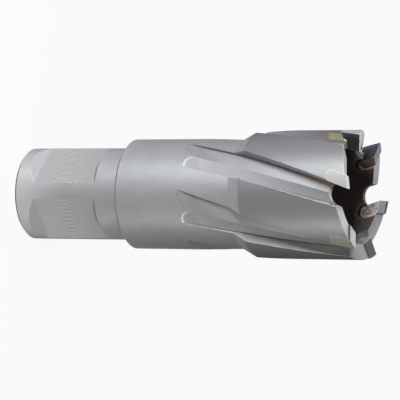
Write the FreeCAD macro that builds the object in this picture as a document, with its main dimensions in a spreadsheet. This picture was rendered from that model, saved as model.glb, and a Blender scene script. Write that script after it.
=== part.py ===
"""Annular cutter: a hollow steel body with a two-flat shank and six brazed carbide tips.

The body is turned from one bar, bored from the cutting end, drilled through the shank for a
pilot pin, and milled with six right-hand helical flutes. Each of the six teeth carries a
carbide tip that is brazed into a slot through the wall, above a round-ended gullet.

Millimetres and degrees. The origin is the centre of the shank's end face, +Z runs along the
axis to the cutting end, and +X points at the cutting edge of the first tooth. The cutter turns
in the positive sense about +Z, so each tooth lies behind its cutting edge, at smaller angles.
"""
import FreeCAD, Part
import math
import os

import Sketcher

Vector = FreeCAD.Vector

# Driving dimensions

SIZES = [
    ("shank_dia", 19.05, "three-quarter inch shank"),
    ("shank_length", 23.7, "end face to shoulder"),
    ("shank_chamfer", 0.6, "bevel round the shank's end"),
    ("flat_depth", 1.7, "how deep each clamping flat is milled"),
    ("flat_start", 4.6, "end face to the flat's level floor"),
    ("flat_end", 18.5, "end face to the flat's upright wall"),
    ("flat_ramp", 1.9, "axial length of the sloped run-out towards the end face"),
    ("flat_turn", 137.5, "direction of the first flat, from the first cutting edge"),
    ("flat_apart", 90, "angle from the first flat to the second"),
    ("pilot_dia", 8.0, "through hole for the pilot pin"),
    ("pilot_chamfer", 0.5, "bevel at the hole's mouth in the end face"),
    ("body_length", 50.7, "shoulder to the tips"),
    ("cutting_dia", 26.2, "over the carbide tips"),
    ("cut_width", 3.7, "width of the ring that the tips cut, outside to core"),
    ("land_relief", 0.1, "how far the lands lie inside the cutting circle"),
    ("bore_relief", 0.3, "how far the hollow's wall lies outside the core"),
    ("neck_drop", 1.65, "how far the neck lies below the lands"),
    ("neck_length", 25.0, "shoulder to the foot of the step"),
    ("shoulder_chamfer", 0.5, "bevel round the shoulder"),
    ("step_length", 3.1, "axial length of the sloped step up to the lands"),
    ("bore_web", 2.8, "steel between the shoulder's level and the hollow's floor"),
    ("bore_corner", 1.5, "bevel between the hollow's wall and its floor"),
    ("teeth", 6, "number of teeth, flutes and tips"),
    ("helix_angle", 20, "slope of the cutting face's flute wall at the cutting diameter"),
    ("foot_depth", 2.15, "lands to the flute floor at the foot of the cutting wall"),
    ("ridge_depth", 1.85, "lands to the faint ridge between the two milled floors"),
    ("heel_depth", 2.05, "lands to the flute floor at the foot of the trailing wall"),
    ("flute_angle", 18.9, "angle that a flute takes at the tips"),
    ("flute_flare", 0.42, "extra flute angle for each millimetre up from the tips"),
    ("ridge_angle", 9.5, "angle from the cutting wall to the ridge, at the tips"),
    ("ridge_flare", 0.26, "extra ridge angle for each millimetre up from the tips"),
    ("flute_length", 31.1, "tips to where the flute floor starts to rise"),
    ("mill_radius", 30, "radius of the flute's run-out"),
    ("gullet_width", 3.9, "width of the gap in front of a tip"),
    ("gullet_depth", 3.9, "depth of that gap along the tooth"),
    ("tip_thickness", 2.3, "carbide tip, front to back"),
    ("tip_length", 5.2, "carbide tip, along the tooth"),
    ("tip_forward", 0.15, "how far the tip stands out in front of the flute wall"),
    ("braze_gap", 0.15, "brazing alloy behind and below a tip"),
    ("end_step", 0.35, "how far the tips stand out past the steel's end"),
    ("relief_angle", 8, "fall of the ground end face behind the cutting edge"),
    ("dish_angle", 9.7, "fall of the cutting edge from its outer corner to the hollow"),
]

# Counts of loft sections, and lengths that cutting shapes reach past the steel

RUN_OUT_STATIONS = 4
FLUTE_STATIONS = 6
OVERCUT = 2.0
INNER_OVERCUT = 1.0
END_STOCK = 8.0
RUN_OUT_SPARE = 1.35

# Radii and levels, written as expressions on the sheet

SHANK_R = "Sizes.shank_dia / 2"
CUTTING_R = "Sizes.cutting_dia / 2"
LAND_R = "(Sizes.cutting_dia / 2 - Sizes.land_relief)"
NECK_R = "(%s - Sizes.neck_drop)" % LAND_R
CORE_R = "(Sizes.cutting_dia / 2 - Sizes.cut_width)"
BORE_R = "(%s + Sizes.bore_relief)" % CORE_R
PILOT_R = "Sizes.pilot_dia / 2"
TIP_Z = "(Sizes.shank_length + Sizes.body_length)"
FLOOR_Z = "(Sizes.shank_length + Sizes.bore_web)"
NECK_END_Z = "(Sizes.shank_length + Sizes.neck_length)"
OUTSIDE_R = "(Sizes.cutting_dia / 2 + %g)" % OVERCUT
FAR_R = "(%s + %g)" % (OUTSIDE_R, OVERCUT)
INSIDE_R = "(%s - %g)" % (CORE_R, INNER_OVERCUT)

doc = FreeCAD.newDocument("annular_cutter")
sheet = doc.addObject("Spreadsheet::Sheet", "Sizes")
for row, (alias, value, note) in enumerate(SIZES, start=1):
    sheet.set("A%d" % row, alias)
    sheet.set("B%d" % row, str(value))
    sheet.set("C%d" % row, note)
    sheet.setAlias("B%d" % row, alias)
doc.recompute()


def measure(expression):
    """The number that an expression on the sheet gives."""
    return float(sheet.evalExpression(expression))


def origin_plane(body, role):
    """One of a body's own origin planes or axes, found by its role."""
    return next(item for item in body.Origin.OriginFeatures if item.Role == role)


def new_body(name):
    """An empty body whose label names its file."""
    body = doc.addObject("PartDesign::Body", name)
    body.Label = name
    return body


def new_sketch(body, name, plane, offset=None):
    """A sketch on one of the body's origin planes, shifted and turned by an expression."""
    sketch = body.newObject("Sketcher::SketchObject", name)
    sketch.AttachmentSupport = [(origin_plane(body, plane), "")]
    sketch.MapMode = "FlatFace"
    if offset:
        sketch.setExpression("AttachmentOffset", offset)
    return sketch


def bind(sketch, kind, edge, end, expression):
    """A dimension of the sketch that follows an expression."""
    number = sketch.addConstraint(Sketcher.Constraint(kind, edge, end, measure(expression)))
    sketch.setExpression("Constraints[%d]" % number, expression)


def draw(sketch, corners, arcs=None):
    """A closed outline through the corners, each a pair of expressions.

    arcs gives, for the corner that an arc starts from, the arc's centre, its radius and 1 for
    counter-clockwise or -1 for clockwise. Every other side is a straight line.
    """
    arcs = arcs or {}
    places = [(measure(x), measure(y)) for x, y in corners]
    count = len(corners)
    ends = []
    for side in range(count):
        here = places[side]
        there = places[(side + 1) % count]
        if side not in arcs:
            edge = sketch.addGeometry(Part.LineSegment(Vector(*here, 0), Vector(*there, 0)))
            ends.append((edge, 1, 2))
            continue
        centre_x, centre_y, radius, sense = arcs[side]
        centre = (measure(centre_x), measure(centre_y))
        angles = [math.atan2(p[1] - centre[1], p[0] - centre[0]) for p in (here, there)]
        if sense < 0:
            angles.reverse()
        circle = Part.Circle(Vector(*centre, 0), Vector(0, 0, 1), measure(radius))
        edge = sketch.addGeometry(Part.ArcOfCircle(circle, *angles))
        bind(sketch, "DistanceX", edge, 3, centre_x)
        bind(sketch, "DistanceY", edge, 3, centre_y)
        number = sketch.addConstraint(Sketcher.Constraint("Radius", edge, measure(radius)))
        sketch.setExpression("Constraints[%d]" % number, radius)
        ends.append((edge, 1, 2) if sense > 0 else (edge, 2, 1))
    for side in range(count):
        edge, first, last = ends[side]
        after, after_first, _ = ends[(side + 1) % count]
        sketch.addConstraint(Sketcher.Constraint("Coincident", edge, last, after, after_first))
        beside = arcs.get(side) or arcs.get((side - 1) % count)
        x, y = corners[side]
        below_centre = beside and abs(measure(beside[0]) - places[side][0]) < 1e-6
        if not beside or below_centre:
            bind(sketch, "DistanceX", edge, first, x)
        if not beside or not below_centre:
            bind(sketch, "DistanceY", edge, first, y)
    return sketch


def add(body, kind, name, profile, **settings):
    """A feature on a profile; text settings become expressions."""
    feature = body.newObject("PartDesign::" + kind, name)
    feature.Profile = profile
    for setting, value in settings.items():
        if isinstance(value, str) and value.startswith("="):
            feature.setExpression(setting, value[1:])
        else:
            setattr(feature, setting, value)
    profile.Visibility = False
    body.Tip = feature
    return feature


def repeat(body, name, feature):
    """The feature once for each tooth, evenly round the axis."""
    pattern = body.newObject("PartDesign::PolarPattern", name)
    pattern.Originals = [feature]
    pattern.Axis = (origin_plane(body, "Z_Axis"), [""])
    pattern.Angle = 360
    pattern.setExpression("Occurrences", "Sizes.teeth")
    body.Tip = pattern
    return pattern


# Outlines that a piece and its seat share

def tooth_plane(distance):
    """The plane across the first tooth's radius, turned so that its height follows the helix."""
    return ("placement(vector(0; %s; %s); rotation(vector(0; 0; 1); -Sizes.helix_angle))"
            % (TIP_Z, distance))


def end_plane(step):
    """The ground end plane through the first cutting edge, lowered by a step."""
    return ("placement(vector(%s; 0; %s - %s); rotation(vector(0; 1; 0); -Sizes.dish_angle))"
            " * placement(vector(0; 0; 0); rotation(vector(1; 0; 0); Sizes.relief_angle))"
            % (CUTTING_R, TIP_Z, step))


TIP_MID = "(Sizes.tip_forward - Sizes.tip_thickness / 2)"
TIP_ROUND = "Sizes.tip_thickness / 2"
TIP_ROUND_Y = "(Sizes.tip_thickness / 2 - Sizes.tip_length)"
TOP_Y = "%g" % OVERCUT


def draw_slot(sketch, left, right, depth):
    """A slot open at the top whose foot is a half circle."""
    radius = "((%s) - (%s)) / 2" % (right, left)
    middle = "((%s) + (%s)) / 2" % (right, left)
    centre_y = "%s - (%s)" % (radius, depth)
    corners = [(left, TOP_Y), (left, centre_y), (right, centre_y), (right, TOP_Y)]
    return draw(sketch, corners, {1: (middle, centre_y, radius, 1)})


def draw_tip(sketch):
    """A carbide tip seen along the tooth's radius: a plate with a rounded rear end."""
    back = "Sizes.tip_forward - Sizes.tip_thickness"
    return draw_slot(sketch, back, "Sizes.tip_forward", "Sizes.tip_length")


def draw_braze(sketch):
    """The brazing alloy: an even layer behind the tip, turning under its rounded end."""
    back = "%s - %s" % (TIP_MID, TIP_ROUND)
    outer = "%s - Sizes.braze_gap" % back
    outer_round = "(%s + Sizes.braze_gap)" % TIP_ROUND
    corners = [
        (back, TOP_Y),
        (back, TIP_ROUND_Y),
        (TIP_MID, "-Sizes.tip_length"),
        (TIP_MID, "-Sizes.tip_length - Sizes.braze_gap"),
        (outer, TIP_ROUND_Y),
        (outer, TOP_Y),
    ]
    arcs = {1: (TIP_MID, TIP_ROUND_Y, TIP_ROUND, 1), 3: (TIP_MID, TIP_ROUND_Y, outer_round, -1)}
    return draw(sketch, corners, arcs)


def draw_sector(sketch):
    """One tooth's share of the end face, from the middle of its gullet to that of the next."""
    front = "(Sizes.flute_angle / 2)"
    rear = "(360 / Sizes.teeth - Sizes.flute_angle / 2)"
    places = [(INSIDE_R, front), (FAR_R, front), (FAR_R, "-" + rear), (INSIDE_R, "-" + rear)]
    corners = []
    for radius, angle in places:
        x = "%s * cos(%s) - %s" % (radius, angle, CUTTING_R)
        y = "%s * sin(%s)" % (radius, angle)
        corners.append((x, y))
    return draw(sketch, corners)


def draw_band(sketch, inner, outer):
    """A band to turn away round the axis, as tall as the carbide tips and a little more."""
    low = "%s - Sizes.tip_length - %s" % (TIP_Z, TOP_Y)
    high = "%s + 2 * %s" % (TIP_Z, TOP_Y)
    return draw(sketch, [(inner, low), (outer, low), (outer, high), (inner, high)])


# Steel body

def turn_body(body):
    """The turned blank: shank, shoulder, neck, step, lands, hollow and pilot hole."""
    corners = [
        (PILOT_R + " + Sizes.pilot_chamfer", "0"),
        (SHANK_R + " - Sizes.shank_chamfer", "0"),
        (SHANK_R, "Sizes.shank_chamfer"),
        (SHANK_R, "Sizes.shank_length"),
        (NECK_R + " - Sizes.shoulder_chamfer", "Sizes.shank_length"),
        (NECK_R, "Sizes.shank_length + Sizes.shoulder_chamfer"),
        (NECK_R, NECK_END_Z),
        (LAND_R, NECK_END_Z + " + Sizes.step_length"),
        (LAND_R, TIP_Z),
        (BORE_R, TIP_Z),
        (BORE_R, FLOOR_Z + " + Sizes.bore_corner"),
        (BORE_R + " - Sizes.bore_corner", FLOOR_Z),
        (PILOT_R, FLOOR_Z),
        (PILOT_R, "Sizes.pilot_chamfer"),
    ]
    section = draw(new_sketch(body, "body_section", "XZ_Plane"), corners)
    add(body, "Revolution", "turned_blank", section, ReferenceAxis=(section, ["V_Axis"]), Angle=360)


def mill_flats(body):
    """Two clamping flats, each with an upright wall and a sloped run-out."""
    level = "(%s - Sizes.flat_depth)" % SHANK_R
    beyond = "(%s + %g)" % (SHANK_R, OVERCUT)
    ramp_foot = ("Sizes.flat_start - Sizes.flat_ramp * (Sizes.flat_depth + %g) / Sizes.flat_depth"
                 % OVERCUT)
    corners = [
        (level, "Sizes.flat_start"),
        (beyond, ramp_foot),
        (beyond, "Sizes.flat_end"),
        (level, "Sizes.flat_end"),
    ]
    for number in range(2):
        turn = "Sizes.flat_turn + %d * Sizes.flat_apart" % number
        offset = "placement(vector(0; 0; 0); rotation(vector(0; 1; 0); %s))" % turn
        name = "flat_%d" % (number + 1)
        section = draw(new_sketch(body, name + "_section", "XZ_Plane", offset), corners)
        add(body, "Pocket", name, section, Length="=Sizes.shank_dia", Midplane=True)


def flute_station(body, number, height, lift):
    """One section of a flute, turned to follow the helix, with its floor raised by lift."""
    back = "(%s - (%s))" % (TIP_Z, height)
    turn = "-%s * 360 * tan(Sizes.helix_angle) / (pi * Sizes.cutting_dia)" % back
    offset = "placement(vector(0; 0; %s); rotation(vector(0; 0; 1); %s))" % (height, turn)
    width = "(Sizes.flute_angle + Sizes.flute_flare * %s)" % back
    ridge = "(Sizes.ridge_angle + Sizes.ridge_flare * %s)" % back
    points = [
        ("(%s - Sizes.foot_depth + %s)" % (LAND_R, lift), "0"),
        (OUTSIDE_R, "0"),
        (OUTSIDE_R, width),
        ("(%s - Sizes.heel_depth + %s)" % (LAND_R, lift), width),
        ("(%s - Sizes.ridge_depth + %s)" % (LAND_R, lift), ridge),
    ]
    corners = [("%s * cos(%s)" % point, "%s * sin(%s)" % point) for point in points]
    return draw(new_sketch(body, "flute_section_%d" % number, "XY_Plane", offset), corners)


def mill_flutes(body):
    """Six helical flutes with a two-facet floor that rises to the neck on the mill's radius."""
    full_z = "(%s - Sizes.flute_length)" % TIP_Z
    reach = "sqrt(2 * Sizes.mill_radius * (Sizes.foot_depth - Sizes.neck_drop))"
    sections = []
    for step in range(RUN_OUT_STATIONS):
        along = "(%g * %s * %g)" % (RUN_OUT_SPARE, reach, 1 - step / RUN_OUT_STATIONS)
        lift = "(Sizes.mill_radius - sqrt(Sizes.mill_radius ^ 2 - %s ^ 2))" % along
        sections.append(("%s - %s" % (full_z, along), lift))
    for step in range(FLUTE_STATIONS + 1):
        share = step / FLUTE_STATIONS
        sections.append(("%s + %g * (Sizes.flute_length + %g)" % (full_z, share, OVERCUT), "0"))
    stations = [flute_station(body, n, *section) for n, section in enumerate(sections, start=1)]
    flute = add(body, "SubtractiveLoft", "flute", stations[0], Sections=stations[1:])
    for station in stations:
        station.Visibility = False
    repeat(body, "flutes", flute)


def cut_through_wall(body, name, drawing):
    """A slot cut outwards through the wall at each tooth, from the hollow."""
    sketch = drawing(new_sketch(body, name + "_outline", "YZ_Plane", tooth_plane(INSIDE_R)))
    length = "=%s - %s" % (OUTSIDE_R, INSIDE_R)
    slot = add(body, "Pocket", name, sketch, Length=length, Reversed=True)
    repeat(body, name + "s", slot)


def draw_gullet(sketch):
    """The round-ended gap in front of a tip; its rear side lies inside the tip's slot."""
    return draw_slot(sketch, TIP_MID, "Sizes.gullet_width", "Sizes.gullet_depth")


def grind_end(body, step, name):
    """The end face of the first tooth, ground with relief and dish."""
    sketch = draw_sector(new_sketch(body, name + "_outline", "XY_Plane", end_plane(step)))
    return add(body, "Pocket", name, sketch, Length=END_STOCK, Reversed=True)


def make_cutter_body():
    """The whole steel body."""
    body = new_body("cutter_body")
    turn_body(body)
    mill_flats(body)
    mill_flutes(body)
    cut_through_wall(body, "tip_slot", draw_tip)
    cut_through_wall(body, "braze_slot", draw_braze)
    cut_through_wall(body, "gullet", draw_gullet)
    repeat(body, "end_faces", grind_end(body, "Sizes.end_step", "end_face"))
    return body


# Carbide tips and their brazing

def trim_round(body, name, inner, outer):
    """Turn away a band round the cutter's axis."""
    band = draw_band(new_sketch(body, name + "_band", "XZ_Plane"), inner, outer)
    add(body, "Groove", name, band, ReferenceAxis=(band, ["V_Axis"]), Angle=360)


def place_on_tooth(body, number):
    """Turn a piece of the first tooth round to its own tooth."""
    body.setExpression("Placement.Rotation.Angle", "360 / Sizes.teeth * %d" % number)
    body.Placement.Rotation.Axis = Vector(0, 0, 1)


def make_tip(number):
    """A carbide tip: a round-ended plate, ground to the cutting diameter and at its end."""
    body = new_body("carbide_tip_%d" % (number + 1))
    outline = draw_tip(new_sketch(body, "tip_outline", "YZ_Plane", tooth_plane(CORE_R)))
    length = "=%s - %s" % (OUTSIDE_R, CORE_R)
    add(body, "Pad", "plate", outline, Length=length)
    trim_round(body, "outside", CUTTING_R, FAR_R)
    grind_end(body, "0", "end_face")
    place_on_tooth(body, number)
    return body


def make_braze(number):
    """The layer of brazing alloy that holds a tip, flush with the steel all round."""
    body = new_body("braze_joint_%d" % (number + 1))
    outline = draw_braze(new_sketch(body, "braze_outline", "YZ_Plane", tooth_plane(INSIDE_R)))
    length = "=%s - %s" % (OUTSIDE_R, INSIDE_R)
    add(body, "Pad", "layer", outline, Length=length)
    trim_round(body, "outside", LAND_R, FAR_R)
    trim_round(body, "inside", "0", BORE_R)
    grind_end(body, "Sizes.end_step", "end_face")
    place_on_tooth(body, number)
    return body


# Build, check and write

def check_document():
    """Stop on any failed object or bad solid."""
    for item in doc.Objects:
        if "Invalid" in item.State or "Error" in item.State:
            raise RuntimeError("%s failed: %s" % (item.Name, item.State))


def check_piece(body):
    """Stop unless the piece is one sound solid."""
    shape = body.Shape
    if shape.isNull() or not shape.isValid() or len(shape.Solids) != 1:
        raise RuntimeError("%s is not one sound solid" % body.Label)


tooth_numbers = range(int(measure("Sizes.teeth")))
pieces = [make_cutter_body()]
pieces += [make_tip(number) for number in tooth_numbers]
pieces += [make_braze(number) for number in tooth_numbers]
doc.recompute()
check_document()

os.makedirs("parts", exist_ok=True)
for piece in pieces:
    check_piece(piece)
for piece in pieces:
    piece.Shape.exportStep("parts/%s.step" % piece.Label)
    box = piece.Shape.BoundBox
    print("%-16s %9.2f mm3  z %7.3f to %7.3f  r %6.3f"
          % (piece.Label, piece.Shape.Volume, box.ZMin, box.ZMax, max(box.XMax, box.YMax)))
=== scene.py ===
# %% [markdown]
# # An annular cutter, dressed for a portrait
#
# The object is a hollow steel cutter with six brazed carbide teeth. Its solids come ready made,
# to size, so this file adds what a drawing leaves out: the blasted steel, the milling marks on
# the flats, the heat round the brazing and the ground faces of the carbide. It is written as a
# lesson. Each step first says what the real thing is like, then makes it.

# %% Load the frame
import math

import bpy
import numpy as np
from mathutils import Matrix, Vector


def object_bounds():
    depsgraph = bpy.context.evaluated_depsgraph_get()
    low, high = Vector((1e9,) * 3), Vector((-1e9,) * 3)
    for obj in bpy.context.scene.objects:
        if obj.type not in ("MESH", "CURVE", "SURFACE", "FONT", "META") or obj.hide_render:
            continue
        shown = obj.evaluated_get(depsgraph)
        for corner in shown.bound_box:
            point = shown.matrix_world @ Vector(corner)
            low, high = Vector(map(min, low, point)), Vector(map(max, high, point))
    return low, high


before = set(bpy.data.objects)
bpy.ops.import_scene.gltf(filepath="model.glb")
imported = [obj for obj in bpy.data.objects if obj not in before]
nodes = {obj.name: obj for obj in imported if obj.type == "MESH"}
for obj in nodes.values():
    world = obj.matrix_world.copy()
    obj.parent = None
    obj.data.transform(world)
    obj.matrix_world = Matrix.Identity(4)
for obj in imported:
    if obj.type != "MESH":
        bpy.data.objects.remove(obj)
solid_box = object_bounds()
MM = 0.001
print("pieces in the frame:", len(nodes))
print("height of the cutter, mm:", round((solid_box[1].z - solid_box[0].z) / MM, 2))

# %% [markdown]
# ## The camera
#
# The photograph looks down on the cutter from the side, with the turning axis lying across the
# picture, so the camera is rolled by about a quarter turn. Three unit vectors say all of it: out
# of the picture towards the lens, to the picture's right, and up the picture. They are worked
# out from the direction that the lens stands in, its height and a small roll.

# %% Directions of the picture
LENS_DIRECTION = math.radians(186.1)
LENS_HEIGHT = math.radians(22.682)
ROLL = math.radians(0.311)

facing = Vector((math.cos(LENS_DIRECTION), math.sin(LENS_DIRECTION), 0))
axis = Vector((0, 0, 1))
level_up = facing.cross(axis)
out_of_picture = facing * math.cos(LENS_HEIGHT) + axis * math.sin(LENS_HEIGHT)
level_right = level_up.cross(out_of_picture)
picture_right = level_right * math.cos(ROLL) + level_up * math.sin(ROLL)
picture_up = level_up * math.cos(ROLL) - level_right * math.sin(ROLL)
print("the cutter's axis in the picture, right and up:",
      round(axis.dot(picture_right), 3), round(axis.dot(picture_up), 3))

# %% Camera
TARGET_Z = 38.049 * MM
DISTANCE = 478.96 * MM
FOCAL_PX = 2330.0
FRAME_PX = 400
DOWN_PX = 5.753
SENSOR = 36.0
CLIP_START = 0.05
CLIP_END = 10

lens_data = bpy.data.cameras.new("camera")
lens_data.sensor_width = SENSOR
lens_data.lens = SENSOR * FOCAL_PX / FRAME_PX
lens_data.clip_start = CLIP_START
lens_data.clip_end = CLIP_END
camera = bpy.data.objects.new("camera", lens_data)
shift = DOWN_PX * DISTANCE / FOCAL_PX
place = axis * TARGET_Z + out_of_picture * DISTANCE - picture_up * shift
turn = Matrix((picture_right, picture_up, out_of_picture)).transposed().to_4x4()
camera.matrix_world = Matrix.Translation(place) @ turn
bpy.context.scene.collection.objects.link(camera)
bpy.context.scene.camera = camera
print("focal length, mm:", round(lens_data.lens, 1))
print("camera stands at, mm:", [round(c / MM, 1) for c in place])

# %% [markdown]
# ## Helpers for materials
#
# A material in Blender is a tree of small nodes. Built by hand, each takes three lines: make it,
# set it, link it. These helpers take one. The commonest thing here is a mask, a number that is 1
# inside a zone and 0 outside. It is made with soft steps and windows, and masks are multiplied
# to narrow a zone down. A hard test would do the same, but its edge would show as a saw.

# %% Node helpers
def blank_material(name):
    """A node material with nothing in it yet."""
    material = bpy.data.materials.new(name)
    material.use_nodes = True
    material.node_tree.nodes.clear()
    return material


def feed(tree, socket, value):
    """Link another node's output into a socket, or set the socket's own value."""
    if isinstance(value, bpy.types.NodeSocket):
        tree.links.new(value, socket)
    else:
        socket.default_value = value


def add(tree, kind, *inputs, named=None, **settings):
    """A shader node with its settings and inputs, in order or by name."""
    made = tree.nodes.new("ShaderNode" + kind)
    for setting, value in settings.items():
        setattr(made, setting, value)
    for socket, value in zip(made.inputs, inputs):
        feed(tree, socket, value)
    for name, value in (named or {}).items():
        feed(tree, made.inputs[name], value)
    return made


def calc(tree, operation, *terms):
    """One step of arithmetic on numbers."""
    return add(tree, "Math", *terms, operation=operation).outputs[0]


# %% Masks and colours
def dot(tree, one, other):
    """The dot product of two vectors."""
    return add(tree, "VectorMath", one, other, operation="DOT_PRODUCT").outputs["Value"]


def product(tree, *terms):
    """All the terms multiplied together, from left to right."""
    made = terms[0]
    for term in terms[1:]:
        made = calc(tree, "MULTIPLY", made, term)
    return made


def soft_step(tree, value, low, high):
    """0 below low, 1 above high and a smooth rise between; low above high turns it round."""
    return add(tree, "MapRange", value, low, high, 0.0, 1.0,
               interpolation_type="SMOOTHSTEP").outputs[0]


def window(tree, value, low, high, blur):
    """1 between low and high, with blurred ends."""
    return product(tree, soft_step(tree, value, low - blur, low + blur),
                   soft_step(tree, value, high + blur, high - blur))


def between(tree, share, below, above):
    """A number between two numbers."""
    return add(tree, "Mix", share, data_type="FLOAT", clamp_factor=True,
               named={"A": below, "B": above}).outputs[0]


def pale(level, tint=(1, 1, 1)):
    """A colour of that brightness with a light tint."""
    return (*(level * part for part in tint), 1)


print("white, as the helpers write it:", pale(1.0))

# %% [markdown]
# ## The floor
#
# Satin steel shows its surroundings more than itself, so the floor is part of the metal's look.
# The cutter stands on a sheet of white paper, on a grey table. The sheet ends just in front of
# the cutter, and its sides run just outside the picture and widen with it, so the paper fills
# the picture while the steel mirrors mostly the grey table. On a plain white floor the steel's
# sides would go flat.
#
# The paper shows as white to the lens and in reflections, and is grey for the light that it
# throws back, so it doesn't wash the shadows out. A tenth of it stays real paper, which takes
# the cutter's shadow.

# %% Sheet of paper
# Lengths here are in metres, from the cutter's axis. The spread is for each metre of depth.
SHEET_FRONT = 0.021
SHEET_BACK = -0.40
SHEET_HALF = 0.0455
SHEET_SPREAD = 0.085
SHEET_BLUR = 0.001


def sheet_mask(tree):
    """1 on the sheet and 0 on the table round it."""
    spot = add(tree, "NewGeometry").outputs["Position"]
    depth = dot(tree, spot, tuple(facing))
    aside = calc(tree, "ABSOLUTE", dot(tree, spot, tuple(level_up)))
    beyond = calc(tree, "MULTIPLY_ADD", depth, SHEET_SPREAD, aside)
    return product(tree, window(tree, depth, SHEET_BACK, SHEET_FRONT, SHEET_BLUR),
                   soft_step(tree, beyond, SHEET_HALF + SHEET_BLUR, SHEET_HALF))


print("sheet of paper, mm wide beside the cutter:", round(2 * SHEET_HALF / MM, 1))

# %% Floor
FLOOR_REACH = 20.0
TABLE = 0.35
WHITE = pale(1.0)
SHADOW_SHARE = 0.10


def paper_on_a_table():
    """The floor's material: white where a ray may see it, grey for the light it gives."""
    material = blank_material("paper_on_a_table")
    tree = material.node_tree
    path = add(tree, "LightPath").outputs
    seen = calc(tree, "MAXIMUM", path["Is Camera Ray"], path["Is Glossy Ray"])
    seen = calc(tree, "MAXIMUM", seen, path["Is Transmission Ray"])
    seen = product(tree, seen, sheet_mask(tree))
    shade = between(tree, seen, TABLE, 1.0)
    shade = add(tree, "CombineColor", shade, shade, shade).outputs[0]
    paper = add(tree, "BsdfDiffuse", shade).outputs[0]
    glow = add(tree, "Emission", WHITE, 1.0).outputs[0]
    share = product(tree, seen, 1 - SHADOW_SHARE)
    both = add(tree, "MixShader", share, paper, glow).outputs[0]
    add(tree, "OutputMaterial", both)
    return material


corners = np.array([[-1, -1, 0], [1, -1, 0], [1, 1, 0], [-1, 1, 0]]) * FLOOR_REACH
floor_mesh = bpy.data.meshes.new("floor")
floor_mesh.from_pydata(corners.tolist(), [], [[0, 1, 2, 3]])
floor_mesh.materials.append(paper_on_a_table())
floor = bpy.data.objects.new("floor", floor_mesh)
bpy.context.scene.collection.objects.link(floor)
print("floor, metres each way:", FLOOR_REACH)

# %% [markdown]
# ## Lamps
#
# Every upright line of a cylinder mirrors one direction, so a low wide lamp becomes a long bright
# band, and a dark stretch between two lamps becomes the dark band that makes the cylinder look
# round. The key and the fill make the two bright bands along the barrel, the top lamp its upper
# edge, the roof lamp lights the ends of the teeth, and the back lamp lights the side away from
# the lens. The world adds a little even light, so that no hole goes black.

# %% World
WORLD_LEVEL = 0.06

world = bpy.data.worlds.new("studio")
bpy.context.scene.world = world
world.use_nodes = True
sky = world.node_tree
sky.nodes.clear()
add(sky, "OutputWorld", add(sky, "Background", WHITE, WORLD_LEVEL).outputs[0])
print("level of the world:", WORLD_LEVEL)

# %% Lamps
# For each lamp: degrees round from the lens, degrees up, distance, width and height in metres,
# watts and colour.
LAMPS = {
    "key": (46, 4, 0.75, 0.38, 0.12, 7.2, (0.95, 0.975, 1.0)),
    "top": (100, 10, 0.75, 0.20, 0.30, 1.61, (0.90, 0.94, 1.0)),
    "fill": (-55, 3, 0.75, 0.14, 0.10, 2.4, (1.0, 0.99, 0.96)),
    "roof": (-5, 70, 0.90, 0.50, 0.50, 2.1, (1.0, 1.0, 1.0)),
    "back": (170, 15, 0.90, 0.50, 0.40, 2.0, (1.0, 1.0, 1.0)),
}


def soft_lamp(name, side, height, distance, width, tall, watts, colour):
    """A soft lamp, side degrees round from the lens and height degrees up, facing in."""
    side = math.radians(side)
    height = math.radians(height)
    turned = facing * math.cos(side) + level_up * math.sin(side)
    direction = turned * math.cos(height) + axis * math.sin(height)
    data = bpy.data.lights.new(name, "AREA")
    data.shape = "RECTANGLE"
    data.size = width
    data.size_y = tall
    data.energy = watts
    data.color = colour
    lamp = bpy.data.objects.new(name, data)
    lamp.location = axis * TARGET_Z + direction * distance
    lamp.rotation_euler = direction.to_track_quat("Z", "Y").to_euler()
    bpy.context.scene.collection.objects.link(lamp)


for lamp_name, lamp_values in LAMPS.items():
    soft_lamp(lamp_name, *lamp_values)
print("lamps:", len(LAMPS))

# %% [markdown]
# ## Where am I on the cutter
#
# The finishes depend on the place: the hollow is burnt dark, the lands are ground, the flats
# carry mill marks and the brazing has tinted the steel beside each tip. So every material first
# works out, from its object coordinates in millimetres, the radius, the height, and how far
# round from the nearest cutting edge a point lies. The last needs the helix taken out: the angle
# is unrolled by the flute's lead before it is folded into one tooth's share of the circle.
# Painting the zones on a flattened skin would do as well, but it would have to be painted again
# after each change of size.

# %% Coordinates
TIP_Z = solid_box[1].z / MM
CUTTING_RADIUS = 13.1
HELIX = math.radians(20)
TEETH = 6
HALF_TOOTH = math.pi / TEETH
lead_per_mm = math.tan(HELIX) / CUTTING_RADIUS


class Place:
    """The object coordinates of a shaded point, in millimetres, and what follows from them."""

    def __init__(self, tree):
        metres = add(tree, "TexCoord").outputs["Object"]
        scaled = add(tree, "VectorMath", metres, operation="SCALE", named={"Scale": 1 / MM})
        self.mm = scaled.outputs[0]
        self.x, self.y, self.z = add(tree, "SeparateXYZ", self.mm).outputs
        flat = add(tree, "CombineXYZ", self.x, self.y, 0.0).outputs[0]
        self.radius = add(tree, "VectorMath", flat, operation="LENGTH").outputs["Value"]
        self.angle = calc(tree, "ARCTAN2", self.y, self.x)
        below_tips = calc(tree, "SUBTRACT", TIP_Z, self.z)
        unrolled = calc(tree, "MULTIPLY_ADD", below_tips, lead_per_mm, self.angle)
        from_edge = calc(tree, "WRAP", unrolled, HALF_TOOTH, -HALF_TOOTH)
        self.ahead = product(tree, from_edge, self.radius)
        normal = add(tree, "TexCoord").outputs["Normal"]
        self.facing_up = add(tree, "SeparateXYZ", normal).outputs[2]
        self.facing_out = calc(tree, "DIVIDE", dot(tree, normal, flat), self.radius)


print("the flutes turn, degrees for each mm:", round(math.degrees(lead_per_mm), 3))

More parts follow.
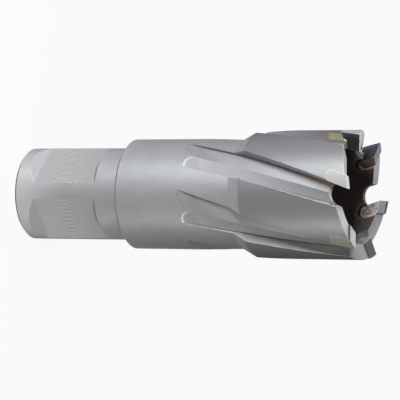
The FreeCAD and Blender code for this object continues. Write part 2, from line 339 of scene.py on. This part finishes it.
# %% [markdown]
# ## Edges and corners
#
# No edge of a used tool is perfectly sharp. Handling rubs an outer edge bright, and a painted
# highlight over that wear makes it shine; an inner corner gets a painted shade. Blender's Bevel
# node rounds the shading over an edge without touching the solid, and where its normal leaves the
# true one there is an edge. Ambient occlusion then tells an open edge from a closed corner.

# %% Edges
EDGE_SAMPLES = 6
OPEN_SAMPLES = 8
OPEN_REACH = 0.5
TURNED_STEP = (0.985, 0.90)
CLOSED_STEP = (0.80, 0.45)
OPEN_STEP = (0.80, 0.95)


def edges(tree, radius):
    """(normal, wear and highlight, corner shade): rounded edges, a mask of the sharp ones for
    wear with a painted highlight, and one of the corners for a painted shade.
    """
    rounded = add(tree, "Bevel", radius * MM, samples=EDGE_SAMPLES).outputs[0]
    true = add(tree, "NewGeometry").outputs["True Normal"]
    turned = soft_step(tree, dot(tree, rounded, true), *TURNED_STEP)
    open_share = add(tree, "AmbientOcclusion", samples=OPEN_SAMPLES,
                     named={"Distance": OPEN_REACH * MM}).outputs["AO"]
    corner = soft_step(tree, open_share, *CLOSED_STEP)
    wear_and_highlight = product(tree, turned, soft_step(tree, open_share, *OPEN_STEP))
    return rounded, wear_and_highlight, corner


print("corners are looked for within, mm:", OPEN_REACH)

# %% [markdown]
# ## A coat of finishes
#
# The finishes of the body share one material, because a finish seldom stops at an edge, and
# separate materials would meet in hard lines. A coat holds what the surface is like so far. Each
# step lays one finish over it where a mask says so, as a painter lays one glaze over another.

# %% Noise and blends
def noise(tree, place, scale, detail=3.0, roughness=0.55):
    """Smooth noise from 0 to 1, with scale features for each millimetre."""
    made = add(tree, "TexNoise", named={
        "Vector": place, "Scale": scale, "Detail": detail, "Roughness": roughness})
    return made.outputs[0]


def blend(tree, share, below, above):
    """A colour between two colours."""
    made = add(tree, "Mix", data_type="RGBA", clamp_factor=True)
    feed(tree, made.inputs["Factor"], share)
    colours = [socket for socket in made.inputs if socket.type == "RGBA"]
    feed(tree, colours[0], below)
    feed(tree, colours[1], above)
    return [socket for socket in made.outputs if socket.type == "RGBA"][0]


# %% Coat
class Coat:
    """What a surface is like: its colour, roughness, share of metal and height of relief."""

    def __init__(self, tree, colour, rough, metallic, height):
        self.tree = tree
        self.colour = colour
        self.rough = rough
        self.metallic = metallic
        self.height = height

    def lay(self, mask, colour=None, share=1.0, rough=None, metallic=None):
        """Lay a finish over the coat where the mask is 1. The share thins its colour alone."""
        if colour is not None:
            amount = product(self.tree, mask, share)
            self.colour = blend(self.tree, amount, self.colour, colour)
        if rough is not None:
            self.rough = between(self.tree, mask, self.rough, rough)
        if metallic is not None:
            self.metallic = between(self.tree, mask, self.metallic, metallic)

    def emboss(self, marks, mask, rise):
        """Add marks to the relief, rise millimetres high, where the mask is 1."""
        lifted = product(self.tree, marks, mask, rise)
        self.height = calc(self.tree, "ADD", self.height, lifted)

    def surface(self, normal):
        """The finished shader, with the relief on top of that normal."""
        relief = add(self.tree, "Bump", named={
            "Strength": 1.0, "Distance": MM, "Height": self.height, "Normal": normal})
        made = add(self.tree, "BsdfPrincipled", named={
            "Base Color": self.colour, "Metallic": self.metallic,
            "Roughness": self.rough, "Normal": relief.outputs[0]})
        add(self.tree, "OutputMaterial", made.outputs[0])
        return made


print("what a coat can do:", ", ".join(step for step in vars(Coat) if step[0] != "_"))

# %% [markdown]
# ## Blasted steel
#
# The turned shank and neck are blasted to a soft even grey, with a fine grain and a faint
# mottle. This first coat covers the whole body. A picture of blasted steel could be wrapped
# round it instead, but noise in millimetres needs no unwrapping and keeps its scale.
#
# From here on, a name that ends in _Z holds heights in millimetres, in _R radii, in _UP or _OUT
# how far a face has to look up or outwards, and in _NOISE the scale and detail of a noise. Two
# numbers are a soft step or the two ends of a blend. Three are a window: from, to and blur.

# %% Blasted steel
MOTTLE_NOISE = (0.35, 4.0)
GRAIN_NOISE = (3.2, 2.0)
BLASTED_DARK = pale(0.40, (1.0, 1.01, 1.03))
BLASTED_LIGHT = pale(0.49, (1.0, 1.01, 1.02))
BLASTED_GRAIN = pale(0.37)
GRAIN_SHARE = 0.5
GRAIN_RISE = 0.009
BLASTED_ROUGH = (0.37, 0.41)
BLASTED_METALLIC = 0.62

steel = blank_material("blasted_steel")
tree = steel.node_tree
here = Place(tree)
mottle = noise(tree, here.mm, *MOTTLE_NOISE)
grain = noise(tree, here.mm, *GRAIN_NOISE)
blasted = blend(tree, mottle, BLASTED_DARK, BLASTED_LIGHT)
blasted = blend(tree, product(tree, grain, GRAIN_SHARE), blasted, BLASTED_GRAIN)
coat = Coat(tree, blasted, between(tree, mottle, *BLASTED_ROUGH), BLASTED_METALLIC,
            product(tree, grain, GRAIN_RISE))
print("steel nodes with the first coat:", len(tree.nodes))

# %% [markdown]
# ## Ground lands
#
# The lands are the outer faces of the teeth. They are ground after blasting, so they are
# smoother and mirror more. They are the body's only faces outside a radius of 12.7 mm, so the
# radius alone is their mask. Chips have left faint streaks along the helix over the upper body.

# %% Ground lands
LAND_R = (12.7, 12.85)
LAND_GREY = pale(0.36, (1.0, 1.01, 1.02))
LAND_SHARE = 0.9
LAND_ROUGH = 0.33
LAND_METALLIC = 0.75
STREAK_ACROSS = 1.2
STREAK_ALONG = 0.05
STREAK_NOISE = (1.6, 3.0)
STREAK_Z = (40.0, 50.0)
STREAK_STEP = (0.35, 0.75)
STREAK_GREY = pale(0.2)
STREAK_SHARE = 0.14

land = soft_step(tree, here.radius, *LAND_R)
coat.lay(land, LAND_GREY, LAND_SHARE, rough=LAND_ROUGH, metallic=LAND_METALLIC)
drawn_out = add(tree, "CombineXYZ", product(tree, here.ahead, STREAK_ACROSS), here.radius,
                product(tree, here.z, STREAK_ALONG)).outputs[0]
streaks = noise(tree, drawn_out, *STREAK_NOISE)
streaked = product(tree, soft_step(tree, here.z, *STREAK_Z),
                   soft_step(tree, streaks, *STREAK_STEP))
coat.lay(streaked, STREAK_GREY, STREAK_SHARE)
print("steel nodes with the lands:", len(tree.nodes))

# %% [markdown]
# ## The two flats
#
# A clamping flat is milled with the face of an end mill that feeds across the shank. Each turn
# leaves an arc, and the trailing edge cuts a second one that bows the other way, so two families
# of arcs cross. A point's travel across the flat, plus or minus the bow of an arc at its height,
# gives both families, and their mean is the pattern. It fades towards the ends of the flat and is
# patchy, as a real mill's marks are. Cutting the arcs into the mesh would take a thousand times
# as many faces for marks a few thousandths of a millimetre deep, so they are a tone and a bump.
# A painted shade darkens the flat beside its end wall, and reaches further where the wall stands
# taller.

# %% Arcs that cross
ARC_MIDDLE_Z = 10.8
ARC_STEP = 0.38
WANDER_NOISE = (0.30, 1.0)
WANDER = 0.25
ARC_FADE = (6.6, 3.0)
PATCH_NOISE = (0.5, 2.0)
PATCH_STEP = (0.35, 0.6)
PATCH_LEAST = 0.35


def wave(tree, travel, step, shift):
    """A sine of that step along the travel, in millimetres, shifted by so many radians."""
    turns = calc(tree, "MULTIPLY_ADD", travel, 2 * math.pi / step, shift)
    return calc(tree, "SINE", turns)


def flat_marks(across, arc_radius):
    """The pattern of crossing arcs, from -1 to 1, and how far it has faded."""
    centred = calc(tree, "SUBTRACT", here.z, ARC_MIDDLE_Z)
    bow = calc(tree, "DIVIDE", product(tree, centred, centred), 2 * arc_radius)
    wander = product(tree, noise(tree, here.mm, *WANDER_NOISE), WANDER)
    families = []
    for lean in (1.0, -1.0):
        travel = calc(tree, "ADD", calc(tree, "MULTIPLY_ADD", bow, lean, across), wander)
        families.append(wave(tree, travel, ARC_STEP, 0.0))
    crossed = between(tree, 0.5, *families)
    fade = soft_step(tree, calc(tree, "ABSOLUTE", centred), *ARC_FADE)
    worked = soft_step(tree, noise(tree, here.mm, *PATCH_NOISE), *PATCH_STEP)
    return product(tree, crossed, fade, between(tree, worked, PATCH_LEAST, 1.0))


print("arcs for each centimetre of feed:", round(10 / ARC_STEP))

# %% Where a flat lies
SHANK_R = 9.525
FLAT_R = 7.825
FLAT_FROM_Z = 2.7
FLAT_TO_Z = 18.5
FLAT_BLUR = 0.05
FLAT_OFF = 0.06
FLAT_ON = 0.02
WALL_SHADE_STEP = (0.95, 0.60)
SHALLOWEST = 0.05


def flat_masks(out, across):
    """(mask, painted shade by the end wall) of one flat, by the distances along its normal and
    across it.
    """
    mask = product(tree, soft_step(tree, out, FLAT_R + FLAT_OFF, FLAT_R + FLAT_ON),
                   soft_step(tree, out, FLAT_R - FLAT_OFF, FLAT_R - FLAT_ON),
                   window(tree, here.z, FLAT_FROM_Z, FLAT_TO_Z, FLAT_BLUR))
    chord = calc(tree, "SUBTRACT", SHANK_R ** 2, product(tree, across, across))
    round_r = calc(tree, "SQRT", calc(tree, "MAXIMUM", chord, 0.0))
    depth = calc(tree, "MAXIMUM", calc(tree, "SUBTRACT", round_r, FLAT_R), SHALLOWEST)
    away = calc(tree, "DIVIDE", calc(tree, "SUBTRACT", FLAT_TO_Z, here.z), depth)
    return mask, product(tree, mask, soft_step(tree, away, *WALL_SHADE_STEP))


print("depth of a flat under the round, mm:", round(SHANK_R - FLAT_R, 2))

# %% Flats
# For each flat: the degrees that it faces, and the radius of its arcs.
FLATS = ((137.5, 11.0), (227.5, 9.0))
ARC_DARK = pale(0.07)
ARC_LIGHT = pale(0.72)
ARC_RISE = 0.006
FLAT_ROUGH = 0.42
# Painted shade: a dark tone for the shade beside each flat's end wall, and for the dark rims
# further down.
PAINTED_SHADE = pale(0.098)
FLAT_SHADE_SHARE = 0.6

for degrees, arc_radius in FLATS:
    cos, sin = math.cos(math.radians(degrees)), math.sin(math.radians(degrees))
    out = calc(tree, "ADD", product(tree, here.x, cos), product(tree, here.y, sin))
    across = calc(tree, "ADD", product(tree, here.x, -sin), product(tree, here.y, cos))
    on_flat, flat_wall_shade = flat_masks(out, across)
    arcs = flat_marks(across, arc_radius)
    tone = blend(tree, calc(tree, "MULTIPLY_ADD", arcs, 0.5, 0.5), ARC_DARK, ARC_LIGHT)
    coat.lay(on_flat, tone, rough=FLAT_ROUGH)
    coat.emboss(arcs, on_flat, ARC_RISE)
    # Painted shade on the flat beside its end wall, wider where the wall is taller.
    coat.lay(flat_wall_shade, PAINTED_SHADE, FLAT_SHADE_SHARE)
print("steel nodes with the flats:", len(tree.nodes))

# %% [markdown]
# ## The ends of the flats
#
# At its lower end each flat climbs out to the round shank on a smooth curved ramp, which faces a
# little up. A painted light makes it look evenly lit, and the lower flat's ramp gets a touch
# more.
# At its upper end each flat stops at a wall that faces down, and a painted shade darkens it.
# Which way a face looks tells the two apart.

# %% Ends of the flats
RAMP_Z = (0.9, FLAT_FROM_Z + 3.0, 0.1)
RAMP_UP = (0.10, 0.16)
# Painted light on the up-facing ramps, a touch more on the lower flat's.
RAMP_PAINTED_LIGHT = pale(0.41)
LOWER_RAMP_PAINTED_LIGHT = pale(0.42)
LOWER_ANGLE = (2.9, 3.1)
UPPER_ANGLE = (0.1, -0.1)
RAMP_ROUGH = 0.65
RAMP_METALLIC = 0.10
END_WALL_Z = (FLAT_TO_Z - 0.3, FLAT_TO_Z + 2.5, 0.1)
END_WALL_UP = (-0.10, -0.16)
# Painted shade on the down-facing end walls.
END_WALL_SHADE = pale(0.17)

ramp = product(tree, window(tree, here.z, *RAMP_Z), soft_step(tree, here.facing_up, *RAMP_UP))
past_half = soft_step(tree, calc(tree, "ABSOLUTE", here.angle), *LOWER_ANGLE)
lower_side = calc(tree, "MAXIMUM", past_half, soft_step(tree, here.angle, *UPPER_ANGLE))
ramp_painted_light = blend(tree, lower_side, RAMP_PAINTED_LIGHT, LOWER_RAMP_PAINTED_LIGHT)
# Painted light on the ramps.
coat.lay(ramp, ramp_painted_light, rough=RAMP_ROUGH, metallic=RAMP_METALLIC)
end_wall_shade = product(tree, window(tree, here.z, *END_WALL_Z),
                   soft_step(tree, here.facing_up, *END_WALL_UP))
# Painted shade on the end walls.
coat.lay(end_wall_shade, END_WALL_SHADE)
print("steel nodes with the flats' ends:", len(tree.nodes))

# %% [markdown]
# ## Flutes
#
# The flutes are milled along the helix and not ground, so they are rougher than the lands and
# carry fine strokes along their length. Their floors lie inside the neck's radius. Where the
# cutter ran out of the neck, the floor curves up, and a painted shade darkens it where it faces
# up.
# The upright walls beside the lands carry the coarser teeth marks of the mill as dark stripes,
# and a painted shade makes them darkest on the wall that looks up the picture.

# %% Floors of the flutes
FLUTE_R = (11.33, 11.25)
FLUTE_Z = (36.0, 80.0, 0.3)
FLUTE_GREY = pale(0.29)
FLUTE_SHARE = 0.7
FLUTE_ROUGH = 0.58
FLUTE_METALLIC = 0.5
STROKE_STEP = 0.5
STROKE_NOISE = (0.8, 2.0)
STROKE_WANDER = 5.0
STROKE_RISE = 0.0015
RUN_OUT_Z = (34.0, 46.5, 1.0)
RUN_OUT_UP = (0.04, 0.7, 0.03)
# Painted shade on the up-facing run-outs.
RUN_OUT_SHADE = pale(0.2)
RUN_OUT_SHADE_SHARE = 0.45

in_flute = product(tree, soft_step(tree, here.radius, *FLUTE_R),
                   window(tree, here.z, *FLUTE_Z))
stroke_shift = product(tree, noise(tree, here.mm, *STROKE_NOISE), STROKE_WANDER)
coat.emboss(wave(tree, here.ahead, STROKE_STEP, stroke_shift), in_flute, STROKE_RISE)
coat.lay(in_flute, FLUTE_GREY, FLUTE_SHARE, rough=FLUTE_ROUGH, metallic=FLUTE_METALLIC)
run_out = product(tree, window(tree, here.z, *RUN_OUT_Z),
                  window(tree, here.facing_up, *RUN_OUT_UP))
coat.lay(run_out, RUN_OUT_SHADE, RUN_OUT_SHADE_SHARE)
print("steel nodes with the flutes:", len(tree.nodes))

# %% Walls of the flutes
WALL_Z = (44.0, 70.0, 1.5)
WALL_R = (11.2, 12.75, 0.08)
WALL_OUT = (-0.5, 0.55, 0.05)
WALL_GREY = pale(0.57)
WALL_SHARE = 0.2
WALL_METALLIC = 0.5
TEETH_STEP = 0.55
TEETH_SLANT = 5.0
TEETH_RISE = 0.006
STRIPE_SWING = 0.25
STRIPE_MEAN = 0.35
STRIPE_ANGLE = (1.2, 2.7, 0.1)
STRIPE_LEAST = 0.15
# Dark stripes for the mill's teeth marks, with a painted shade that is strongest on the wall that
# looks up the picture.
STRIPE_GREY = pale(0.12)

on_wall = product(tree, window(tree, here.z, *WALL_Z), window(tree, here.radius, *WALL_R),
                  window(tree, here.facing_out, *WALL_OUT))
coat.lay(on_wall, WALL_GREY, WALL_SHARE, metallic=WALL_METALLIC)
slant = product(tree, here.radius, TEETH_SLANT)
teeth_marks = wave(tree, here.z, TEETH_STEP, slant)
coat.emboss(teeth_marks, on_wall, TEETH_RISE)
stripe_share = calc(tree, "MULTIPLY_ADD", teeth_marks, STRIPE_SWING, STRIPE_MEAN)
# Painted shade: the stripes darkest on the wall that looks up the picture.
upper_wall_shade = between(tree, window(tree, here.angle, *STRIPE_ANGLE), STRIPE_LEAST, 1.0)
coat.lay(product(tree, on_wall, stripe_share, upper_wall_shade), STRIPE_GREY)
print("steel nodes with the walls:", len(tree.nodes))

# %% [markdown]
# ## Round the brazing
#
# Each tip sits in a slot with a round foot. The torch leaves its traces round that slot: the
# steel ahead of it goes brown and a little gold spills over the wall. Flux has dried to a white
# crust at the heel of one tooth, and a painted light whitens the up-facing curve of the gullet
# beside another. So the distance from the slot's own outline is worked out once, for a point
# beside it or below its foot, and some raggedness is added to it. The ends of the teeth are
# ground after brazing, so they are clean and bright. That grinding reaches further down on the
# teeth at the bottom of the picture, which an angle tells.

# %% Distance from the slot
TIP_LENGTH = 5.2
TIP_THICKNESS = 2.3
HALF_SLOT = TIP_THICKNESS / 2
SLOT_FOOT_Z = TIP_Z - TIP_LENGTH + HALF_SLOT
HEAT_NOISE = (0.9, 3.0)
RAGGED = 1.2

slot_z = calc(tree, "MAXIMUM", calc(tree, "SUBTRACT", SLOT_FOOT_Z, here.z), 0.0)
slot_s = calc(tree, "ADD", here.ahead, HALF_SLOT)
off_centre = calc(tree, "SQRT", calc(tree, "ADD", product(tree, slot_z, slot_z),
                                     product(tree, slot_s, slot_s)))
off_slot = calc(tree, "MAXIMUM", calc(tree, "SUBTRACT", off_centre, HALF_SLOT), 0.0)
heat = noise(tree, here.mm, *HEAT_NOISE)
ragged = calc(tree, "ADD", off_slot, calc(tree, "MULTIPLY_ADD", heat, RAGGED, -RAGGED / 2))
print("foot of the slots, mm up:", round(SLOT_FOOT_Z, 2))

# %% Ends, heat and spilt alloy
END_UP = (0.75, 0.9)
LOWER_TEETH_ANGLE = (-2.88, -1.1, 0.05)
BRIGHT_FROM_Z = (70.3, 71.9)
BRIGHT_RISE = 0.6
END_GREY = pale(0.70, (1.0, 0.99, 1.03))
END_ROUGH = 0.45
END_METALLIC = 0.2
TINT_Z = (64.5, 70.6, 0.9)
TINT_AHEAD = (0.05, 1.5, 0.35)
TINT_STEP = (0.35, 0.6)
TINT_BROWN = pale(0.31, (1.15, 0.85, 0.7))
TINT_SHARE = 0.6
SPILL_Z = (66.9, 70.5, 0.5)
SPILL_AHEAD = (-0.45, 0.35, 0.10)
SPILL_R = (11.4, 12.75, 0.2)
SPILL_LEAST = 0.6
SPILL_GOLD = pale(0.66, (1.0, 0.84, 0.52))

bright_from = between(tree, window(tree, here.angle, *LOWER_TEETH_ANGLE), *BRIGHT_FROM_Z)
bright_to = calc(tree, "ADD", bright_from, BRIGHT_RISE)
ends = product(tree, soft_step(tree, here.facing_up, *END_UP),
               soft_step(tree, here.z, bright_from, bright_to))
coat.lay(ends, END_GREY, rough=END_ROUGH, metallic=END_METALLIC)
tint = product(tree, window(tree, here.z, *TINT_Z), window(tree, here.ahead, *TINT_AHEAD),
               soft_step(tree, heat, *TINT_STEP))
coat.lay(tint, TINT_BROWN, TINT_SHARE)
spill = product(tree, window(tree, here.z, *SPILL_Z), window(tree, here.ahead, *SPILL_AHEAD),
                window(tree, here.radius, *SPILL_R), between(tree, heat, SPILL_LEAST, 1.0))
coat.lay(spill, SPILL_GOLD)
print("steel nodes with the heat:", len(tree.nodes))

# %% Dried flux, and painted light in a gullet
HEEL_AHEAD = (3.5, 5.0, 0.4)
HEEL_Z = (70.6, 73.5, 0.5)
HEEL_STEP = (0.45, 0.6)
HEEL_ANGLE = (2.1, 2.7, 0.05)
HEEL_WHITE = pale(0.82, (1.0, 0.97, 0.9))
SCOOP_Z = (69.0, 72.5, 0.3)
SCOOP_UP = (0.05, 0.3)
SCOOP_ANGLE = (-2.88, -2.98)
# Painted light: a near white for the gullet's up-facing curve.
SCOOP_PAINTED_LIGHT = pale(0.92, (1.0, 0.98, 0.95))
SCOOP_METALLIC = 0.1

heel = product(tree, window(tree, here.ahead, *HEEL_AHEAD), window(tree, here.z, *HEEL_Z),
               land, soft_step(tree, heat, *HEEL_STEP), window(tree, here.angle, *HEEL_ANGLE))
coat.lay(heel, HEEL_WHITE)
# Painted light on the up-facing curve of one gullet.
scoop = product(tree, window(tree, here.z, *SCOOP_Z), soft_step(tree, here.facing_up, *SCOOP_UP),
                soft_step(tree, here.angle, *SCOOP_ANGLE))
coat.lay(scoop, SCOOP_PAINTED_LIGHT, metallic=SCOOP_METALLIC)
print("steel nodes with the flux:", len(tree.nodes))

# %% [markdown]
# ## The hollow
#
# The bore was left as the torch made it: black scale and brown rust round each slot, with a
# painted shade for the thin dark gap where the alloy stops. It is a dead dull surface, so its
# share of metal is low.

# %% Hollow
BORE_R = (9.82, 9.74)
HOLLOW_Z = (26.4, 26.5)
SOOT_DARK = pale(0.055, (1.12, 0.96, 0.95))
SOOT_LIGHT = pale(0.087, (1.15, 0.96, 0.92))
RUST = pale(0.17, (1.25, 0.86, 0.55))
RUST_REACH = (1.3, 0.1)
RUST_STEP = (0.3, 0.6)
# Painted shade: a near black for the gap round each slot.
GAP_SHADE = pale(0.023)
GAP_SHADE_REACH = (0.22, 0.12)
BURNT_ROUGH = 0.6
BURNT_METALLIC = 0.1

burnt = product(tree, soft_step(tree, here.radius, *BORE_R), soft_step(tree, here.z, *HOLLOW_Z))
rust_share = product(tree, soft_step(tree, ragged, *RUST_REACH),
                     soft_step(tree, heat, *RUST_STEP))
scale_tone = blend(tree, rust_share, blend(tree, mottle, SOOT_DARK, SOOT_LIGHT), RUST)
# Painted shade in the gap round each slot.
scale_tone = blend(tree, soft_step(tree, off_slot, *GAP_SHADE_REACH), scale_tone, GAP_SHADE)
coat.lay(burnt, scale_tone, rough=BURNT_ROUGH, metallic=BURNT_METALLIC)
print("steel nodes with the hollow:", len(tree.nodes))

# %% [markdown]
# ## Rims and edges, with painted highlight and painted shade
#
# A painted shade and a painted dark reflection make a dark line round the foot of the shank and
# in the step under the shoulder.
# Over it all go the edges, rubbed by wear and lit with a painted highlight, and the corners,
# darkened with a painted shade. The edges at the flutes' run-out and at the foot of the flats are
# soft on the real cutter and don't shine, so a painted shade tones them down instead.
#
# The last two values are the steel's mirror at a glancing angle. Left at their defaults, they
# would outline the body in white against the paper.

# %% Edges of the steel, and its surface
FOOT_Z = (0.45, 0.2)
STEP_Z = (23.5, 23.82, 0.1)
RIM_SHADE_SHARE = 0.75
STEEL_EDGE = 0.10
SOFT_RUN_OUT_Z = (33.0, 45.0, 0.5)
SOFT_FLAT_Z = (0.9, 5.0, 0.2)
# Painted highlight over wear on the sharp edges; painted shade on the soft edges and in the
# corners.
WEAR_AND_HIGHLIGHT_GREY = pale(0.88)
SOFT_EDGE_SHADE = pale(0.22)
EDGE_TONE_SHARE = (0.28, 0.70)
CORNER_SHADE = pale(0.059)
CORNER_SHADE_SHARE = 0.6
SPECULAR_LEVEL = 0.3
SPECULAR_TINT = pale(0.05)

# Painted shade and painted dark reflection: a dark line round the shank's foot and under the
# shoulder.
rims = calc(tree, "MAXIMUM", soft_step(tree, here.z, *FOOT_Z), window(tree, here.z, *STEP_Z))
coat.lay(rims, PAINTED_SHADE, RIM_SHADE_SHARE)
edge, wear_and_highlight, corner = edges(tree, STEEL_EDGE)
soft_edge_shade = calc(tree, "MAXIMUM", window(tree, here.z, *SOFT_RUN_OUT_Z),
                  window(tree, here.z, *SOFT_FLAT_Z))
# Sharp edges: wear with a painted highlight. Soft edges: a painted shade.
coat.lay(product(tree, wear_and_highlight, between(tree, soft_edge_shade, *EDGE_TONE_SHARE)),
         blend(tree, soft_edge_shade, WEAR_AND_HIGHLIGHT_GREY, SOFT_EDGE_SHADE))
# Painted shade in the closed corners.
coat.lay(corner, CORNER_SHADE, CORNER_SHADE_SHARE)
steel_surface = coat.surface(edge)
steel_surface.inputs["Specular IOR Level"].default_value = SPECULAR_LEVEL
steel_surface.inputs["Specular Tint"].default_value = SPECULAR_TINT
print("steel nodes in all:", len(tree.nodes))

# %% [markdown]
# ## Carbide
#
# The six tips are ground on their rake faces and ends, but the torch has treated each outer face
# differently: one is cream with dried flux, one is tan, the others are plain. The inner faces,
# which stand a little proud in the hollow, are left rough from the press, with a painted shade in
# the hollows of their lumps. So each tip gets its own tints of the same material. The tones of
# its end and its inner face are painted light and shade, lit and shaded copies of one finish, and
# which way a face looks tells outer, inner and end apart.

# %% Tints of the tips
CREAM = pale(0.36, (1.0, 1.0, 0.93))
TAN = pale(0.29, (1.0, 0.91, 0.76))
LILAC = pale(0.33, (1.0, 0.98, 1.08))
# The end and inner tones below are painted light and shade: lit and shaded copies of ground and
# pressed carbide.
SHADED_GROUND_END = pale(0.17, (1.0, 1.0, 1.03))
LIT_GROUND_END = pale(0.62, (1.0, 0.99, 1.04))
GREY_GROUND = pale(0.46, (1.0, 0.99, 1.06))
LIT_PRESSED = pale(0.55, (1.0, 0.96, 0.90))
DULL_PRESSED = pale(0.31, (1.0, 0.95, 0.92))
SHADED_PRESSED = pale(0.098, (1.1, 0.95, 0.85))
# For each tip: its outer face, its end, its inner face, and the share of a dark rim on its end.
# The tones of the end and the inner face are painted light and shade.
TIPS = {
    1: (LILAC, LIT_GROUND_END, LIT_PRESSED, 0.9),
    2: (LILAC, SHADED_GROUND_END, SHADED_PRESSED, 0.0),
    3: (LILAC, GREY_GROUND, DULL_PRESSED, 0.0),
    4: (CREAM, LIT_GROUND_END, DULL_PRESSED, 0.0),
    5: (TAN, GREY_GROUND, DULL_PRESSED, 0.0),
    6: (LILAC, SHADED_GROUND_END, DULL_PRESSED, 0.0),
}
print("tips with a tint:", len(TIPS))

# %% Pressed inner faces
LUMP_NOISE = (1.5, 5.0, 0.7)
LUMP_RISE = 0.30
# Painted shade: the share of the inner tone left in the hollows between lumps.
HOLLOW_SHADE_SHARE = 0.35
RIDGE_RATE = 1.2
RIDGE_WANDER = 16.0
RIDGE_SHARE = 0.25
PRESSED_STEP = (0.25, 0.65)
PRESSED_ROUGH = 0.6


def pressed_tone(tree, here, lumps, inner):
    """The rough inner face: ridges and lumps, with a painted shade in the hollows."""
    hollows = tuple(HOLLOW_SHADE_SHARE * part for part in inner[:3]) + (1,)
    ridge_shift = product(tree, lumps, RIDGE_WANDER)
    ridges = calc(tree, "SINE", calc(tree, "MULTIPLY_ADD", here.z, RIDGE_RATE, ridge_shift))
    worked = calc(tree, "MULTIPLY_ADD", ridges, RIDGE_SHARE, lumps)
    return blend(tree, soft_step(tree, worked, *PRESSED_STEP), hollows, inner)


print("height of the lumps, mm:", LUMP_RISE)

# %% Carbide
LINE_STRETCH = (0.6, 0.6, 6.0)
LINE_NOISE = (1.2, 2.0)
LINE_RISE = 0.008
RAKE_DARK = pale(0.03, (1.0, 1.0, 1.04))
RAKE_LIGHT = pale(0.055, (1.0, 1.0, 1.04))
MARGIN = pale(0.09, (1.0, 0.88, 1.35))
MARGIN_R = (12.0, 12.7)
MARGIN_SHARE = 0.8
CARBIDE_ROUGH = 0.42
CARBIDE_METALLIC = 0.2
RIM_DARK = pale(0.087)
RIM_R = (12.2, 12.35)
TIP_END_UP = (0.55, 0.8)
CRUST = pale(0.39, (1.0, 0.97, 0.93))
CRUST_SHARE = 0.5
OUTER_OUT = (0.6, 0.8)
INNER_OUT = (-0.6, -0.8)
CARBIDE_EDGE = 0.07
# Chipping with a painted highlight along the sharp edges, and a painted shade for the corners.
CHIPPED_AND_HIGHLIGHT = pale(0.92)
CHIPPED_AND_HIGHLIGHT_SHARE = 0.8
CARBIDE_CORNER_SHADE = pale(0.039, (1.0, 0.8, 0.7))


def carbide(number, outer, end, inner, rim_share):
    """Ground carbide of one tip: dark rake face, tinted outer face, its own end, rough inside."""
    material = blank_material(f"ground_carbide_{number}")
    tree = material.node_tree
    here = Place(tree)
    stretched = add(tree, "VectorMath", here.mm, LINE_STRETCH, operation="MULTIPLY").outputs[0]
    lines = noise(tree, stretched, *LINE_NOISE)
    lumps = noise(tree, here.mm, *LUMP_NOISE)
    coat = Coat(tree, blend(tree, lines, RAKE_DARK, RAKE_LIGHT), CARBIDE_ROUGH,
                CARBIDE_METALLIC, product(tree, lines, LINE_RISE))
    coat.lay(soft_step(tree, here.radius, *MARGIN_R), MARGIN, MARGIN_SHARE)
    rim = product(tree, soft_step(tree, here.radius, *RIM_R), rim_share)
    coat.lay(soft_step(tree, here.facing_up, *TIP_END_UP), blend(tree, rim, end, RIM_DARK))
    crusted = blend(tree, product(tree, lumps, CRUST_SHARE), outer, CRUST)
    coat.lay(soft_step(tree, here.facing_out, *OUTER_OUT), crusted)
    inside = soft_step(tree, here.facing_out, *INNER_OUT)
    coat.lay(inside, pressed_tone(tree, here, lumps, inner), rough=PRESSED_ROUGH, metallic=0.0)
    coat.height = between(tree, inside, coat.height, product(tree, lumps, LUMP_RISE))
    edge, wear_and_highlight, corner = edges(tree, CARBIDE_EDGE)
    # Sharp edges: chipping with a painted highlight.
    coat.lay(wear_and_highlight, CHIPPED_AND_HIGHLIGHT, CHIPPED_AND_HIGHLIGHT_SHARE)
    # Painted shade in the closed corners.
    coat.lay(corner, CARBIDE_CORNER_SHADE, CORNER_SHADE_SHARE)
    coat.surface(edge).inputs["Specular IOR Level"].default_value = SPECULAR_LEVEL
    return material


# %% Finishes of the tips
FINISHES = {"cutter_body": steel}
for number, faces in TIPS.items():
    FINISHES[f"carbide_tip_{number}"] = carbide(number, *faces)
print("tips with a finish:", len(FINISHES) - 1)

# %% [markdown]
# ## Brazing alloy
#
# The alloy is a thin even layer behind and below each tip. It is dull gold where it melted, and
# carries a crust of dried flux where it meets the outside. Six joints share one material, because
# a noise in object coordinates already makes each of them different.

# %% Brazing alloy
ALLOY_DARK = pale(0.43, (1.0, 0.70, 0.42))
ALLOY_LIGHT = pale(0.88, (1.0, 0.80, 0.52))
ALLOY_NOISE = (1.6, 4.0)
FLUX_CRUST = pale(0.59, (1.0, 0.96, 0.86))
ALLOY_METALLIC = 0.6
CRUST_METALLIC = 0.1
ALLOY_ROUGH = 0.45


def braze():
    """Brazing alloy: dull gold, with a crust of dried flux where it meets the outside."""
    material = blank_material("brazing_alloy")
    tree = material.node_tree
    here = Place(tree)
    mottled = noise(tree, here.mm, *ALLOY_NOISE)
    outside = soft_step(tree, here.facing_out, *OUTER_OUT)
    gold = blend(tree, mottled, ALLOY_DARK, ALLOY_LIGHT)
    surface = add(tree, "BsdfPrincipled", named={
        "Base Color": blend(tree, outside, gold, FLUX_CRUST),
        "Metallic": between(tree, outside, ALLOY_METALLIC, CRUST_METALLIC),
        "Roughness": ALLOY_ROUGH})
    add(tree, "OutputMaterial", surface.outputs[0])
    return material


alloy = braze()
for number in TIPS:
    FINISHES[f"braze_joint_{number}"] = alloy
for node_name, finish in FINISHES.items():
    nodes[node_name].material_slots[0].material = finish
print("pieces with a finish:", len(FINISHES), "of", len(nodes))

# %% [markdown] ## View settings The view transform is set to Standard, so that a colour shows as it
# is written.

# %% View settings
bpy.context.scene.view_settings.view_transform = "Standard"
